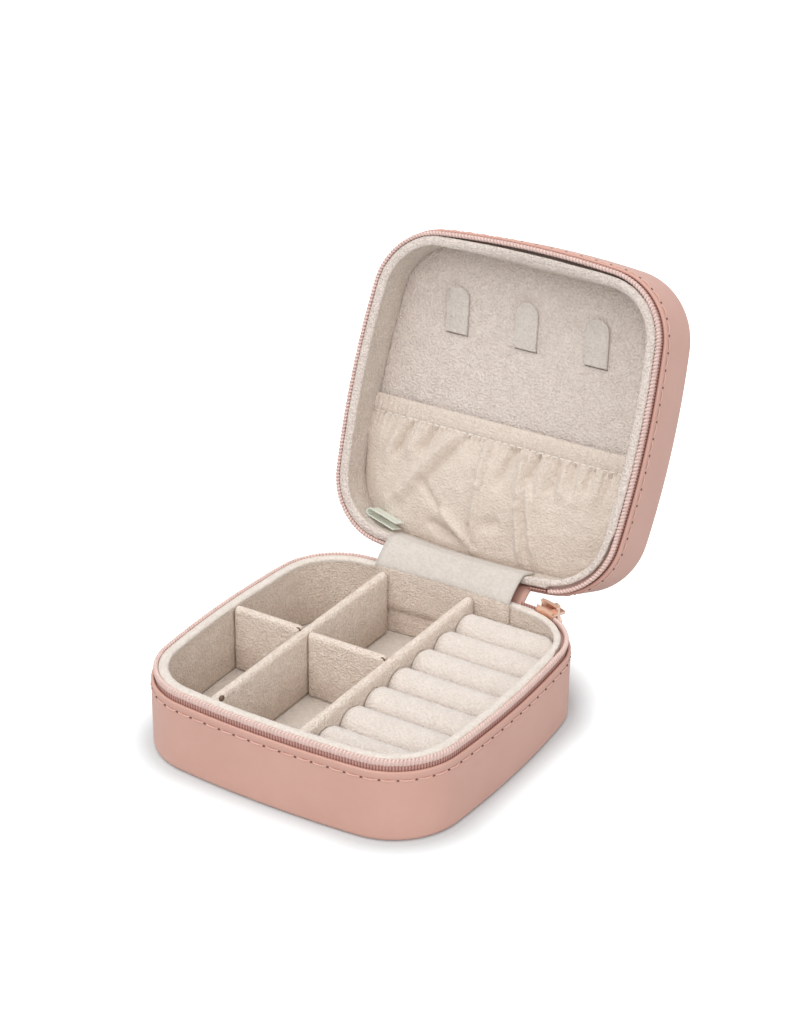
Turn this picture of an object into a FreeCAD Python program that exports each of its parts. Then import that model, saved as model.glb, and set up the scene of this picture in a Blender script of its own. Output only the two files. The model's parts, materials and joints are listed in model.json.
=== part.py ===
import FreeCAD, Part
import math
import os

# A zip-up travel jewelry box, standing open. Millimetres, +Z up, front towards -Y.
# The origin is the middle of the underside. The lid is built closed and swung open at the end.

V = FreeCAD.Vector

# Overall form: a square with bowed sides and round corners
box_width = 100.0
box_depth = 100.0
corner_radius = 21.5
side_bow_radius = 312.0
base_wall_height = 22.0
lid_wall_height = 19.6
zip_reveal = 3.2
lid_open_angle = 111.0
hinge_setback = 0.5

# Wall layers, from the outside in
leather_thickness = 1.0
layer_gap = 0.05
frame_thickness = 1.1
lining_gap = 0.1
lining_thickness = 1.5
rim_chamfer = 0.5
rim_gap = 0.3

# Floor layers
panel_thickness = 1.4
panel_edge = 1.2
frame_floor = 1.0
floor_pad_thickness = 0.7
lid_padding_thickness = 3.0
lid_panel_thickness = 2.6
lid_panel_edge_gap = 0.2

# Zip
tape_thickness = 0.6
tape_clearance = 0.05
tape_tuck = 8.0
coil_thickness = 1.2
coil_height = 0.7
tooth_height = 0.6
tooth_pitch = 2.4
chain_gap = 1.2
slider_angle = 72.0
slider_length = 7.0
slider_width = 4.8
slider_plate = 0.8
slider_inner_plate = 0.4
slider_inner_width = 3.0
slider_outer_gap = 0.5
slider_inner_gap = 0.2
slider_flange = 0.5
wedge_thickness = 0.6
wedge_length = 3.0
bail_bar = 0.9
bail_stand = 1.6
bail_length = 4.8
pull_ring_gap = 0.3
pull_ring_wire = 0.6
pull_ring_width = 0.9
pull_length = 15.0
pull_width = 4.6
pull_thickness = 0.9
pull_hole_radius = 1.2

# Hinge
hinge_half_width = 24.0
hinge_end_gap = 0.5
lid_chain_gap = 1.0
spine_thickness = 0.6
spine_tuck = 7.5
strip_thickness = 0.8
strip_clearance = 0.3
strip_base_drop = 14.0
strip_panel_gap = 1.0
sheet_stations = 6
bend_steps = 6

# Base interior
divider_thickness = 3.2
divider_drop = 1.2
divider_end_gap = 0.3
divider_left_x = -20.6
divider_right_x = 8.8
cross_left_y = 2.0
cross_right_y = 0.8
roll_count = 7
roll_gap = 0.3
roll_drop = 3.7
roll_side_gap = 0.3
roll_front_gap = 2.7

# Lid interior
hook_width = 7.6
hook_length = 14.0
hook_thickness = 1.2
hook_gap = 0.3
hook_spacing = 23.8
hook_root_y = -18.6
slit_depth = 1.0
slit_width = 0.7
pocket_mouth_y = 5.4
pocket_bottom_gap = 0.4
pocket_cloth = 0.8
pocket_hem_gap = 1.2
pocket_belly = 5.0
pocket_side_gap = 0.3
hem_height = 7.0
elastic_thickness = 0.8
elastic_clearance = 0.1
film_length = 11.0
film_width = 5.0
film_thickness = 0.3
film_bend_radius = 0.9
film_lift = 4.4
film_strip_gap = 3.0
film_wall_gap = 0.8

# Worked-out levels and offsets from the outline
seam_height = base_wall_height + zip_reveal
lid_depth = lid_wall_height + zip_reveal
closed_height = seam_height + lid_depth
tape_outer = leather_thickness + layer_gap + tape_clearance
frame_outer = tape_outer + tape_thickness + tape_clearance
frame_inner = frame_outer + frame_thickness
lining_outer = frame_inner + lining_gap
lining_inner = lining_outer + lining_thickness
tape_middle = tape_outer + tape_thickness / 2
coil_outer = tape_middle - coil_thickness / 2
coil_inner = tape_middle + coil_thickness / 2
tooth_tip = chain_gap / 2
coil_root = tooth_tip + tooth_height + coil_height
frame_bottom = panel_thickness + layer_gap
base_floor = frame_bottom + frame_floor + floor_pad_thickness
lid_frame_floor = frame_bottom + lid_padding_thickness
lid_panel_face = lid_frame_floor + frame_floor + lid_panel_thickness
strip_outer = lining_inner + strip_clearance
strip_inner = strip_outer + strip_thickness
divider_top = seam_height - divider_drop
hinge_y = box_depth / 2 + hinge_setback
lid_panel_z = closed_height - lid_panel_face


def corner_centre():
    """Centre of the +X +Y corner arc, which runs smoothly into both side arcs."""
    right_x = box_width / 2 - side_bow_radius
    back_y = box_depth / 2 - side_bow_radius
    reach = side_bow_radius - corner_radius
    half = math.hypot(right_x, back_y) / 2
    rise = math.sqrt(reach ** 2 - half ** 2)
    return V(right_x / 2 - rise * back_y / (2 * half), back_y / 2 - rise * right_x / (2 * half), 0)


def outline_arcs():
    """The eight arcs (centre, radius, start and end angle), anticlockwise from the back side's right end."""
    c = corner_centre()
    reach = side_bow_radius - corner_radius
    back = math.degrees(math.asin(c.x / reach))
    side = math.degrees(math.asin(c.y / reach))
    deep = side_bow_radius - box_depth / 2
    wide = side_bow_radius - box_width / 2
    bow = side_bow_radius
    turn = corner_radius
    return [
        (V(0, -deep, 0), bow, 90 - back, 90 + back),
        (V(-c.x, c.y, 0), turn, 90 + back, 180 - side),
        (V(wide, 0, 0), bow, 180 - side, 180 + side),
        (V(-c.x, -c.y, 0), turn, 180 + side, 270 - back),
        (V(0, deep, 0), bow, 270 - back, 270 + back),
        (V(c.x, -c.y, 0), turn, 270 + back, 360 - side),
        (V(-wide, 0, 0), bow, 360 - side, 360 + side),
        (V(c.x, c.y, 0), turn, 360 + side, 450 - back),
    ]


ARCS = outline_arcs()
CORNER = corner_centre()


def polar(centre, radius, degrees):
    """Point on a circle in the XY plane."""
    a = math.radians(degrees)
    return V(centre.x + radius * math.cos(a), centre.y + radius * math.sin(a), centre.z)


def arc_edge(centre, radius, start, end):
    """Arc edge through its two ends and its middle."""
    points = [polar(centre, radius, a) for a in (start, (start + end) / 2, end)]
    return Part.Arc(*points).toShape()


def outline_face(offset):
    """Face inside the outline, drawn in by offset."""
    return Part.Face(Part.Wire([arc_edge(c, r - offset, a, b) for c, r, a, b in ARCS]))


def prism(offset, bottom, top):
    """Solid inside the outline drawn in by offset, between two heights."""
    face = outline_face(offset)
    face.translate(V(0, 0, bottom))
    return face.extrude(V(0, 0, top - bottom))


def ring(outer, inner, bottom, top):
    """Wall between two offsets of the outline."""
    return prism(outer, bottom, top).cut(prism(inner, bottom, top))


def edges_at(solid, height):
    """Edges of a solid that lie flat at one height."""
    flat = []
    for edge in solid.Edges:
        box = edge.BoundBox
        if abs(box.ZMin - height) < 1e-6 and abs(box.ZMax - height) < 1e-6:
            flat.append(edge)
    return flat


def box_between(low, high):
    """Box from its lowest to its highest corner."""
    return Part.makeBox(high.x - low.x, high.y - low.y, high.z - low.z, low)


def back_y_at(x, offset):
    """Depth of the back side at x, drawn in by offset."""
    bow = side_bow_radius
    return box_depth / 2 - bow + math.sqrt((bow - offset) ** 2 - x ** 2)


def back_distance(x):
    """Way along the outline from the back side's right end to x on the back side."""
    start = ARCS[0][2]
    angle = 90 - math.degrees(math.asin(x / side_bow_radius))
    return side_bow_radius * math.radians(angle - start)


def corner_distance(degrees):
    """Way along the outline to a place on the back right corner, by its angle from +X."""
    whole = sum(r * math.radians(b - a) for c, r, a, b in ARCS[:-1])
    return whole + corner_radius * math.radians(360 + degrees - ARCS[-1][2])


def spans(start, end):
    """Arcs cut down to the stretch of the outline between two distances."""
    found = []
    done = 0.0
    for centre, radius, a, b in ARCS:
        length = radius * math.radians(b - a)
        first = max(start - done, 0.0)
        last = min(end - done, length)
        if last - first > 1e-9:
            found.append((centre, radius, a + math.degrees(first / radius), a + math.degrees(last / radius)))
        done += length
    return found


def strip_solid(outer, inner, start, end, bottom, top):
    """Upright strip between two offsets along a stretch of the outline."""
    stretch = spans(start, end)
    edges = [arc_edge(c, r - outer, a, b) for c, r, a, b in stretch]
    edges += [arc_edge(c, r - inner, a, b) for c, r, a, b in stretch]
    for centre, radius, angle in (stretch[0][:3], stretch[-1][:2] + stretch[-1][3:]):
        ends = [polar(centre, radius - offset, angle) for offset in (outer, inner)]
        edges.append(Part.LineSegment(*ends).toShape())
    wire = Part.Wire(Part.__sortEdges__(edges))
    face = Part.Face(wire)
    face.translate(V(0, 0, bottom))
    return face.extrude(V(0, 0, top - bottom))


def station(distance, offset, height):
    """Point at a distance along the outline, drawn in by offset, at a height."""
    done = 0.0
    for centre, radius, a, b in ARCS:
        length = radius * math.radians(b - a)
        if distance <= done + length + 1e-9:
            point = polar(centre, radius - offset, a + math.degrees((distance - done) / radius))
            return V(point.x, point.y, height)
        done += length
    raise ValueError("distance lies past the outline")


def polygon(*corners):
    """Flat face through its corners."""
    return Part.Face(Part.makePolygon(corners + corners[:1]))


def coil_solid(start, end, seam):
    """Zip coil as a comb: a bead along the tape's edge with a pointed tooth to each pitch, up to the seam."""
    count = int((end - start) / tooth_pitch)
    step = (end - start) / count
    root = seam - coil_root
    gap = root + coil_height
    rise = V(0, 0, seam - tooth_tip - gap)

    def column(i, offset):
        return [station(start + i * step, offset, z) for z in (root, gap)]

    faces = []
    for i in range(count):
        sides = []
        for offset in (coil_outer, coil_inner):
            low, high = column(i, offset)
            next_low, next_high = column(i + 1, offset)
            tip = (high + next_high) / 2 + rise
            sides.append((low, high, tip, next_high, next_low))
            faces.append(polygon(*sides[-1]))
        outer, inner = sides
        for k in (1, 2):
            faces.append(polygon(outer[k], outer[k + 1], inner[k + 1]))
            faces.append(polygon(outer[k], inner[k + 1], inner[k]))
        faces.append(polygon(outer[4], outer[0], inner[0], inner[4]))
    for i in (0, count):
        faces.append(polygon(*column(i, coil_outer), *column(i, coil_inner)[::-1]))
    solid = Part.Solid(Part.Shell(faces))
    if solid.Volume < 0:
        solid.reverse()
    return solid


def outer_panel():
    """Leather-covered board under the base or on the lid, with a turned-down edge."""
    body = prism(0, 0, panel_thickness)
    return body.makeChamfer(panel_edge, edges_at(body, 0))


def leather_band(wall_height):
    """Leather wall strip that stands on the outer panel."""
    return ring(0, leather_thickness, frame_bottom, wall_height)


def frame_tray(wall_height, floor_bottom):
    """Moulded tray that backs the leather and the tape, with a floor at its own level."""
    body = prism(frame_outer, frame_bottom, wall_height)
    body = body.cut(prism(frame_inner, floor_bottom + frame_floor, wall_height))
    if floor_bottom > frame_bottom:
        body = body.cut(prism(frame_inner, frame_bottom, floor_bottom))
    return body


def lining_wall(floor, seam):
    """Padded lining with a softened inner rim that stops just short of the seam."""
    top = seam - rim_gap
    room = prism(lining_inner, floor, top)
    wall = prism(lining_outer, floor, top).cut(room)
    rim = [edge for edge in edges_at(wall, top) if room.distToShape(edge.Vertexes[0])[0] < 1e-6]
    return wall.makeChamfer(rim_chamfer, rim)


def zipper_tape(start, end, wall_height):
    """Tape that stands up from between leather and frame to the root of the coil."""
    low = wall_height - tape_tuck
    high = wall_height + zip_reveal - coil_root
    return strip_solid(tape_outer, tape_outer + tape_thickness, start, end, low, high)


def close_lid(shape):
    """Turn a piece built like the base upside down into the closed lid."""
    return shape.mirror(V(0, 0, closed_height / 2), V(0, 0, 1))


def open_lid(shape):
    """Swing a piece of the closed lid open about the hinge."""
    turned = shape.copy()
    turned.rotate(V(0, hinge_y, seam_height), V(1, 0, 0), -lid_open_angle)
    return turned


def open_point(y, z):
    """The place, across the hinge, of a point of the closed lid when the lid is open."""
    a = math.radians(lid_open_angle)
    across = y - hinge_y
    up = z - seam_height
    return (hinge_y + across * math.cos(a) + up * math.sin(a),
            seam_height - across * math.sin(a) + up * math.cos(a))


def bend(p0, p1, p2, p3, count):
    """Points along a smooth bend from p1 to p2, which runs on from the line p0-p1 into the line p2-p3."""
    chord = math.hypot(p2[0] - p1[0], p2[1] - p1[1])
    handles = []
    for near, far in ((p1, p0), (p2, p3)):
        run = math.hypot(near[0] - far[0], near[1] - far[1])
        handles.append([near[k] + (near[k] - far[k]) / run * chord / 3 for k in (0, 1)])
    points = []
    for i in range(1, count):
        t = i / count
        weights = ((1 - t) ** 3, 3 * t * (1 - t) ** 2, 3 * t ** 2 * (1 - t), t ** 3)
        knots = (p1, handles[0], handles[1], p2)
        points.append([sum(w * p[k] for w, p in zip(weights, knots)) for k in (0, 1)])
    return points


def hinge_sheet(offset, thickness, base_low, base_high, lid_low, lid_high):
    """Flexible sheet from the base's back wall, round the hinge, on to the open lid's back wall."""
    sections = []
    for i in range(sheet_stations + 1):
        x = hinge_half_width * (2 * i / sheet_stations - 1)
        sides = []
        for depth in (offset, offset + thickness):
            y = back_y_at(x, depth)
            ends = [(y, base_low), (y, base_high), open_point(y, lid_low), open_point(y, lid_high)]
            sides.append(ends[:2] + bend(*ends, bend_steps) + ends[2:])
        loop = [V(x, y, z) for y, z in sides[0] + sides[1][::-1]]
        sections.append(Part.makePolygon(loop + loop[:1]))
    return Part.makeLoft(sections, True, True)


def wall_section(x0, x1, z0, z1):
    """Rectangle in the XZ plane, to be turned about the corner's axis."""
    corners = [V(x0, 0, z0), V(x1, 0, z0), V(x1, 0, z1), V(x0, 0, z1)]
    return Part.Face(Part.makePolygon(corners + corners[:1]))


def turned(section, start, end):
    """Section turned about the back right corner's upright axis, between two angles from +X."""
    face = section.copy()
    face.rotate(V(0, 0, 0), V(0, 0, 1), start)
    solid = face.revolve(V(0, 0, 0), V(0, 0, 1), end - start)
    solid.translate(V(CORNER.x, CORNER.y, 0))
    return solid


def along_corner(length):
    """Angle at the back right corner for a length along the outline."""
    return math.degrees(length / corner_radius)


def zipper_slider():
    """Slider: outer plate with flanges, inner plate, the wedge that joins them, and a bail for the pull."""
    outer_face = corner_radius - coil_outer + slider_outer_gap
    inner_face = corner_radius - coil_inner - slider_inner_gap
    half = along_corner(slider_length / 2)
    start = slider_angle - half
    end = slider_angle + half
    low = seam_height - slider_width / 2
    high = seam_height + slider_width / 2
    outside = outer_face + slider_plate
    body = turned(wall_section(outer_face, outside, low, high), start, end)
    for z in (low, high - slider_flange):
        flange = wall_section(outer_face - slider_flange, outer_face, z, z + slider_flange)
        body = body.fuse(turned(flange, start, end))
    inner_low = seam_height - slider_inner_width / 2
    inner_high = seam_height + slider_inner_width / 2
    inside = inner_face - slider_inner_plate
    body = body.fuse(turned(wall_section(inside, inner_face, inner_low, inner_high), start, end))
    wedge_half = wedge_thickness / 2
    wedge = wall_section(inner_face, outer_face, seam_height - wedge_half, seam_height + wedge_half)
    body = body.fuse(turned(wedge, start, start + along_corner(wedge_length)))
    half_bar = bail_bar / 2
    bar = outside + bail_stand
    bar_low = seam_height - half_bar
    bar_high = seam_height + half_bar
    bail_half = along_corner(bail_length / 2)
    bail = wall_section(bar - half_bar, bar + half_bar, bar_low, bar_high)
    body = body.fuse(turned(bail, slider_angle - bail_half, slider_angle + bail_half))
    post = wall_section(outside, bar + half_bar, bar_low, bar_high)
    width = along_corner(bail_bar)
    for place in (slider_angle - bail_half - width, slider_angle + bail_half):
        body = body.fuse(turned(post, place, place + width))
    return body.removeSplitter()


def zipper_pull():
    """Pull: a wire ring round the bail with a flat tab hanging from it, a round hole near its end."""
    outside = corner_radius - coil_outer + slider_outer_gap + slider_plate
    bar = outside + bail_stand
    ring_inner = bail_bar / 2 + pull_ring_gap
    ring_outer = ring_inner + pull_ring_wire
    middle = V(bar, -pull_ring_width / 2, seam_height)
    along = V(0, 1, 0)
    loop = Part.makeCylinder(ring_outer, pull_ring_width, middle, along)
    loop = loop.cut(Part.makeCylinder(ring_inner, pull_ring_width, middle, along))
    top = seam_height - ring_outer + pull_ring_wire / 2
    bottom = top - pull_length
    end_radius = pull_width / 2
    low = V(bar - pull_thickness / 2, -pull_width / 2, bottom + end_radius)
    tab = box_between(low, V(bar + pull_thickness / 2, pull_width / 2, top - end_radius))
    face_x = V(bar - pull_thickness / 2, 0, bottom + end_radius)
    across = V(1, 0, 0)
    tab = tab.fuse(Part.makeCylinder(end_radius, pull_thickness, face_x, across))
    shoulder = [V(face_x.x, s * w / 2, z) for s, w, z in (
        (-1, pull_width, top - end_radius), (1, pull_width, top - end_radius),
        (1, pull_ring_width, top), (-1, pull_ring_width, top))]
    shoulder = Part.Face(Part.makePolygon(shoulder + shoulder[:1])).extrude(V(pull_thickness, 0, 0))
    tab = tab.fuse(shoulder).cut(Part.makeCylinder(pull_hole_radius, pull_thickness, face_x, across))
    body = loop.fuse(tab).removeSplitter()
    body.rotate(V(0, 0, 0), V(0, 0, 1), slider_angle)
    body.translate(V(CORNER.x, CORNER.y, 0))
    return body


def upright_divider(low, high):
    """Board wrapped in suede, with a round top edge, between two corners in plan."""
    radius = divider_thickness / 2
    body = box_between(V(low[0], low[1], base_floor), V(high[0], high[1], divider_top - radius))
    along_x = high[0] - low[0] > high[1] - low[1]
    if along_x:
        start = V(low[0], (low[1] + high[1]) / 2, divider_top - radius)
        crest = Part.makeCylinder(radius, high[0] - low[0], start, V(1, 0, 0))
    else:
        start = V((low[0] + high[0]) / 2, low[1], divider_top - radius)
        crest = Part.makeCylinder(radius, high[1] - low[1], start, V(0, 1, 0))
    return body.fuse(crest).removeSplitter()


def dividers():
    """Two long dividers from front to back, and a short one beside each compartment."""
    half = divider_thickness / 2
    left = divider_left_x
    right = divider_right_x
    back = {x: back_y_at(abs(x) + half, strip_inner) - divider_end_gap for x in (left, right)}
    front = {x: -back_y_at(abs(x) + half, lining_inner) + divider_end_gap for x in (left, right)}
    wall_x = -box_width / 2 + lining_inner + divider_end_gap
    wall_x += side_bow_radius - math.sqrt(side_bow_radius ** 2 - (abs(cross_left_y) + half) ** 2)
    return {
        "divider_long_left": upright_divider((left - half, front[left]), (left + half, back[left])),
        "divider_long_right": upright_divider((right - half, front[right]), (right + half, back[right])),
        "divider_cross_left": upright_divider(
            (wall_x, cross_left_y - half), (left - half - divider_end_gap, cross_left_y + half)),
        "divider_cross_right": upright_divider(
            (left + half + divider_end_gap, cross_right_y - half),
            (right - half - divider_end_gap, cross_right_y + half)),
    }


def ring_section():
    """Foam rolls side by side on a foam block, cut to the round corners of the lining."""
    x0 = divider_right_x + divider_thickness / 2 + roll_side_gap
    back = back_y_at(hinge_half_width, strip_inner) - roll_side_gap
    front = roll_front_gap - back_y_at(hinge_half_width, lining_inner)
    pitch = (back - front + roll_gap) / roll_count
    radius = (pitch - roll_gap) / 2
    axis_z = seam_height - roll_drop - radius
    inside = prism(lining_inner + roll_side_gap, base_floor, seam_height)
    nodes = {}
    for i in range(roll_count):
        y = front + radius + i * pitch
        roll = Part.makeCylinder(radius, box_width / 2, V(x0, y, axis_z), V(1, 0, 0))
        nodes["ring_roll_%d" % (i + 1)] = roll.common(inside)
    block_top = axis_z - radius
    block = box_between(V(x0, front, base_floor), V(box_width / 2, back, block_top))
    nodes["ring_roll_base"] = block.common(inside)
    return nodes


def necklace_hook(x):
    """Tab with a round free end towards the lid's front, hinged at its root on the panel."""
    radius = hook_thickness / 2
    face_z = lid_panel_z - hook_gap
    half = hook_width / 2
    tip_y = hook_root_y - hook_length
    plate = box_between(V(x - half, tip_y + half, face_z - hook_thickness), V(x + half, hook_root_y, face_z))
    low = V(x, tip_y + half, face_z - hook_thickness)
    plate = plate.fuse(Part.makeCylinder(half, hook_thickness, low, V(0, 0, 1)))
    root = Part.makeCylinder(radius, hook_width, V(x - half, hook_root_y, face_z - radius), V(1, 0, 0))
    return plate.fuse(root).removeSplitter()


def hook_places():
    """Middles of the necklace hooks across the lid."""
    return [hook_spacing * i for i in (-1, 0, 1)]


def lid_inner_panel():
    """Suede-covered panel with a slit at the root of each hook."""
    body = prism(frame_inner + lid_panel_edge_gap, lid_panel_z, lid_panel_z + lid_panel_thickness)
    for x in hook_places():
        low = V(x - hook_width / 2, hook_root_y - slit_width / 2, lid_panel_z)
        body = body.cut(box_between(low, low + V(hook_width, slit_width, slit_depth)))
    return body


def pocket():
    """Gathered pocket with a hem casing, and the flat elastic inside the hem."""
    inside = prism(lining_inner + pocket_side_gap, seam_height, lid_panel_z)
    mouth = pocket_mouth_y
    casing = elastic_thickness + 2 * elastic_clearance
    hem_back = lid_panel_z - pocket_hem_gap
    hem_face = hem_back - 2 * pocket_cloth - casing
    hem_end = mouth + hem_height + 2 * pocket_cloth
    bottom_y = back_y_at(hinge_half_width, strip_inner) - pocket_bottom_gap
    belly_y = (hem_end + bottom_y) / 2
    belly_z = lid_panel_z - pocket_belly
    foot_z = lid_panel_z - pocket_cloth / 2

    def arc(p, q, r):
        return Part.Arc(V(0, *p), V(0, *q), V(0, *r)).toShape()

    def line(p, q):
        return Part.LineSegment(V(0, *p), V(0, *q)).toShape()

    start = (hem_end, hem_face)
    start_back = (hem_end, hem_face + pocket_cloth)
    edges = [
        line((mouth, hem_face), start),
        arc(start, (belly_y, belly_z - pocket_cloth), (bottom_y, foot_z - pocket_cloth)),
        line((bottom_y, foot_z - pocket_cloth), (bottom_y, foot_z)),
        arc((bottom_y, foot_z), (belly_y, belly_z), start_back),
        line(start_back, (hem_end, hem_back)),
        line((hem_end, hem_back), (mouth, hem_back)),
        line((mouth, hem_back), (mouth, hem_face)),
    ]
    face = Part.Face(Part.Wire(edges))
    face.translate(V(-box_width / 2, 0, 0))
    cloth = face.extrude(V(box_width, 0, 0))
    slot = V(-box_width / 2, mouth + pocket_cloth, hem_face + pocket_cloth)
    cloth = cloth.cut(box_between(slot, slot + V(box_width, hem_height, casing)))
    low = slot + V(0, elastic_clearance, elastic_clearance)
    band = box_between(low, low + V(box_width, hem_height - 2 * elastic_clearance, elastic_thickness))
    return {"pocket_fabric": cloth.common(inside), "pocket_elastic": band.common(inside)}


def film_tab():
    """Loop of thin clear film, doubled back on itself, beside the lid's back wall."""
    inner = film_bend_radius
    outer = film_bend_radius + film_thickness
    straight = film_length - outer
    loop = box_between(V(-straight, -outer, 0), V(0, outer, film_width))
    loop = loop.fuse(Part.makeCylinder(outer, film_width, V(-straight, 0, 0)))
    hollow = box_between(V(-straight, -inner, 0), V(0, inner, film_width))
    hollow = hollow.fuse(Part.makeCylinder(inner, film_width, V(-straight, 0, 0)))
    loop = loop.cut(hollow)
    offset = lining_inner + film_wall_gap + outer
    height = lid_panel_z - film_lift - film_width
    start = back_distance(-hinge_half_width - film_strip_gap)
    root = station(start, offset, height)
    tip = station(start + film_length, offset, height)
    loop.rotate(V(0, 0, 0), V(0, 0, 1), math.degrees(math.atan2(root.y - tip.y, root.x - tip.x)))
    loop.translate(root)
    return loop


def base_pieces():
    """Shell, zip half, lining and inner fittings of the base."""
    chain_start = back_distance(-hinge_half_width - hinge_end_gap)
    chain_end = corner_distance(slider_angle + along_corner(slider_length / 2))
    nodes = {
        "base_leather_band": leather_band(base_wall_height),
        "base_bottom_panel": outer_panel(),
        "base_frame": frame_tray(base_wall_height, frame_bottom),
        "base_zipper_tape": zipper_tape(chain_start, chain_end, base_wall_height),
        "base_zipper_coil": coil_solid(chain_start, chain_end, seam_height),
        "base_lining_wall": lining_wall(frame_bottom + frame_floor, seam_height),
        "base_floor_pad": prism(lining_inner, frame_bottom + frame_floor, base_floor),
    }
    nodes.update(dividers())
    nodes.update(ring_section())
    return nodes


def lid_pieces():
    """Shell, zip half, lining and inner fittings of the lid, closed."""
    chain_start = back_distance(-hinge_half_width - hinge_end_gap)
    slider_end = along_corner(slider_length / 2 + lid_chain_gap)
    chain_end = corner_distance(slider_angle - slider_end)
    stagger = tooth_pitch / 2
    panel_top = lid_frame_floor + frame_floor
    mirrored = {
        "lid_leather_band": leather_band(lid_wall_height),
        "lid_top_panel": outer_panel(),
        "lid_top_padding": prism(frame_inner + lining_gap, frame_bottom, lid_frame_floor),
        "lid_frame": frame_tray(lid_wall_height, lid_frame_floor),
        "lid_zipper_tape": zipper_tape(chain_start, chain_end, lid_wall_height),
        "lid_zipper_coil": coil_solid(chain_start + stagger, chain_end, lid_depth),
        "lid_lining_wall": lining_wall(panel_top + lid_panel_thickness, lid_depth),
    }
    nodes = {name: close_lid(shape) for name, shape in mirrored.items()}
    nodes["lid_inner_panel"] = lid_inner_panel()
    for i, x in enumerate(hook_places()):
        nodes["necklace_hook_%d" % (i + 1)] = necklace_hook(x)
    nodes.update(pocket())
    nodes["film_tab"] = film_tab()
    return nodes


def hinge_pieces():
    """Leather spine behind the walls and suede strip in front of them, bent round the open hinge."""
    lid_wall = seam_height + zip_reveal
    spine = hinge_sheet(tape_outer, spine_thickness, base_wall_height - spine_tuck, base_wall_height,
                        lid_wall, lid_wall + spine_tuck)
    strip = hinge_sheet(strip_outer, strip_thickness, seam_height - strip_base_drop, seam_height - rim_gap,
                        seam_height + rim_gap, lid_panel_z - strip_panel_gap)
    return {"hinge_spine_leather": spine, "hinge_lining_strip": strip}


def all_pieces():
    """Every node at rest, with the lid open."""
    nodes = base_pieces()
    nodes.update({name: open_lid(shape) for name, shape in lid_pieces().items()})
    nodes.update(hinge_pieces())
    nodes["zipper_slider"] = zipper_slider()
    nodes["zipper_pull"] = zipper_pull()
    return nodes


os.makedirs("parts", exist_ok=True)
for name, shape in all_pieces().items():
    shape.exportStep("parts/%s.step" % name)
    print(name, len(shape.Solids), shape.isValid(), round(shape.Volume, 1))

slider_middle = corner_radius - coil_outer + slider_outer_gap + slider_plate + bail_stand
pull_pivot = polar(CORNER, slider_middle, slider_angle)
print("seam", seam_height, "closed height", closed_height, "hinge", hinge_y)
print("corner axis", CORNER.x, CORNER.y, "pull pivot", pull_pivot.x, pull_pivot.y, seam_height)
for i, x in enumerate(hook_places()):
    print("hook", i + 1, x, open_point(hook_root_y, lid_panel_z - hook_gap - hook_thickness / 2))
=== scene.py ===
import json
import math

import bmesh
import bpy
from mathutils import Matrix, Vector, noise


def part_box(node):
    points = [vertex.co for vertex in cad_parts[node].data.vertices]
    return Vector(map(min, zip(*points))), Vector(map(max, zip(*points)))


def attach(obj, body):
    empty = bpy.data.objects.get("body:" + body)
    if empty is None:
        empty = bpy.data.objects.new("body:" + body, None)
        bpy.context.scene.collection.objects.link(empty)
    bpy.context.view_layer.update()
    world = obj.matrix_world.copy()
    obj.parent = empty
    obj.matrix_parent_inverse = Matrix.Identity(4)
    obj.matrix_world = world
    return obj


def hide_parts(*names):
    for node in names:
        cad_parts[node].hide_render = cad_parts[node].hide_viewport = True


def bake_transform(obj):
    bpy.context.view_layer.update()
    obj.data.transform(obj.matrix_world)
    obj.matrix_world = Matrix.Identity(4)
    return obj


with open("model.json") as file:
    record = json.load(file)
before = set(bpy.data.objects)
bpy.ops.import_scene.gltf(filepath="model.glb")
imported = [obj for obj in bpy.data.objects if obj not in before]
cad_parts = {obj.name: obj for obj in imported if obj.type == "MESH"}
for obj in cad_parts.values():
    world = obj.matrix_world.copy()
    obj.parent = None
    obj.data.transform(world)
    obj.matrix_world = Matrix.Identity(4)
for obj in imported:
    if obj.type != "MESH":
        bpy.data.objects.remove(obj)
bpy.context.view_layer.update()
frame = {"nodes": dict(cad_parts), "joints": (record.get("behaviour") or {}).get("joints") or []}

# Looks of a zip-up travel jewelry box, standing open. Lengths are millimetres until a mesh is made.
# Pieces of the lid are drawn closed and swung open about the hinge.
MM = 0.001

# Outline: a square with bowed sides and round corners
half_width = 50.0
corner_radius = 21.5
side_bow_radius = 312.0
station_step = 1.6

# Levels, measured from the underside of the base or the top of the lid
base_seam = 25.2
lid_seam = 22.8
zip_reveal = 3.5
base_wall = base_seam - zip_reveal
lid_wall = lid_seam - zip_reveal
closed_height = base_seam + lid_seam
base_floor = 3.15
lid_floor = 8.05
panel_z = closed_height - lid_floor

# Layers, as offsets in from the outline
leather = 1.0
tape_outer = 1.15
tape_inner = 1.6
coil_offset = 1.4
lining_outer = 2.95
lining_inner = 4.45

# Hinge
hinge = next(joint for joint in frame["joints"] if joint["name"] == "lid_hinge")
hinge_y, hinge_z = (value / MM for value in hinge["pos_m"][1:])
open_angle = math.radians(111.0)
hinge_half_width = 24.0
bend_ease = 0.17
strip_right = 22.0
strip_offset = 4.95
strip_thickness = 0.6
strip_base_run = 14.0
strip_lid_run = 7.0
strip_bend_gap = 0.3
strip_ease = 3.0
strip_waviness = 0.25
spine_offset = 1.4
spine_thickness = 0.55
spine_tuck = 7.5

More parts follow.
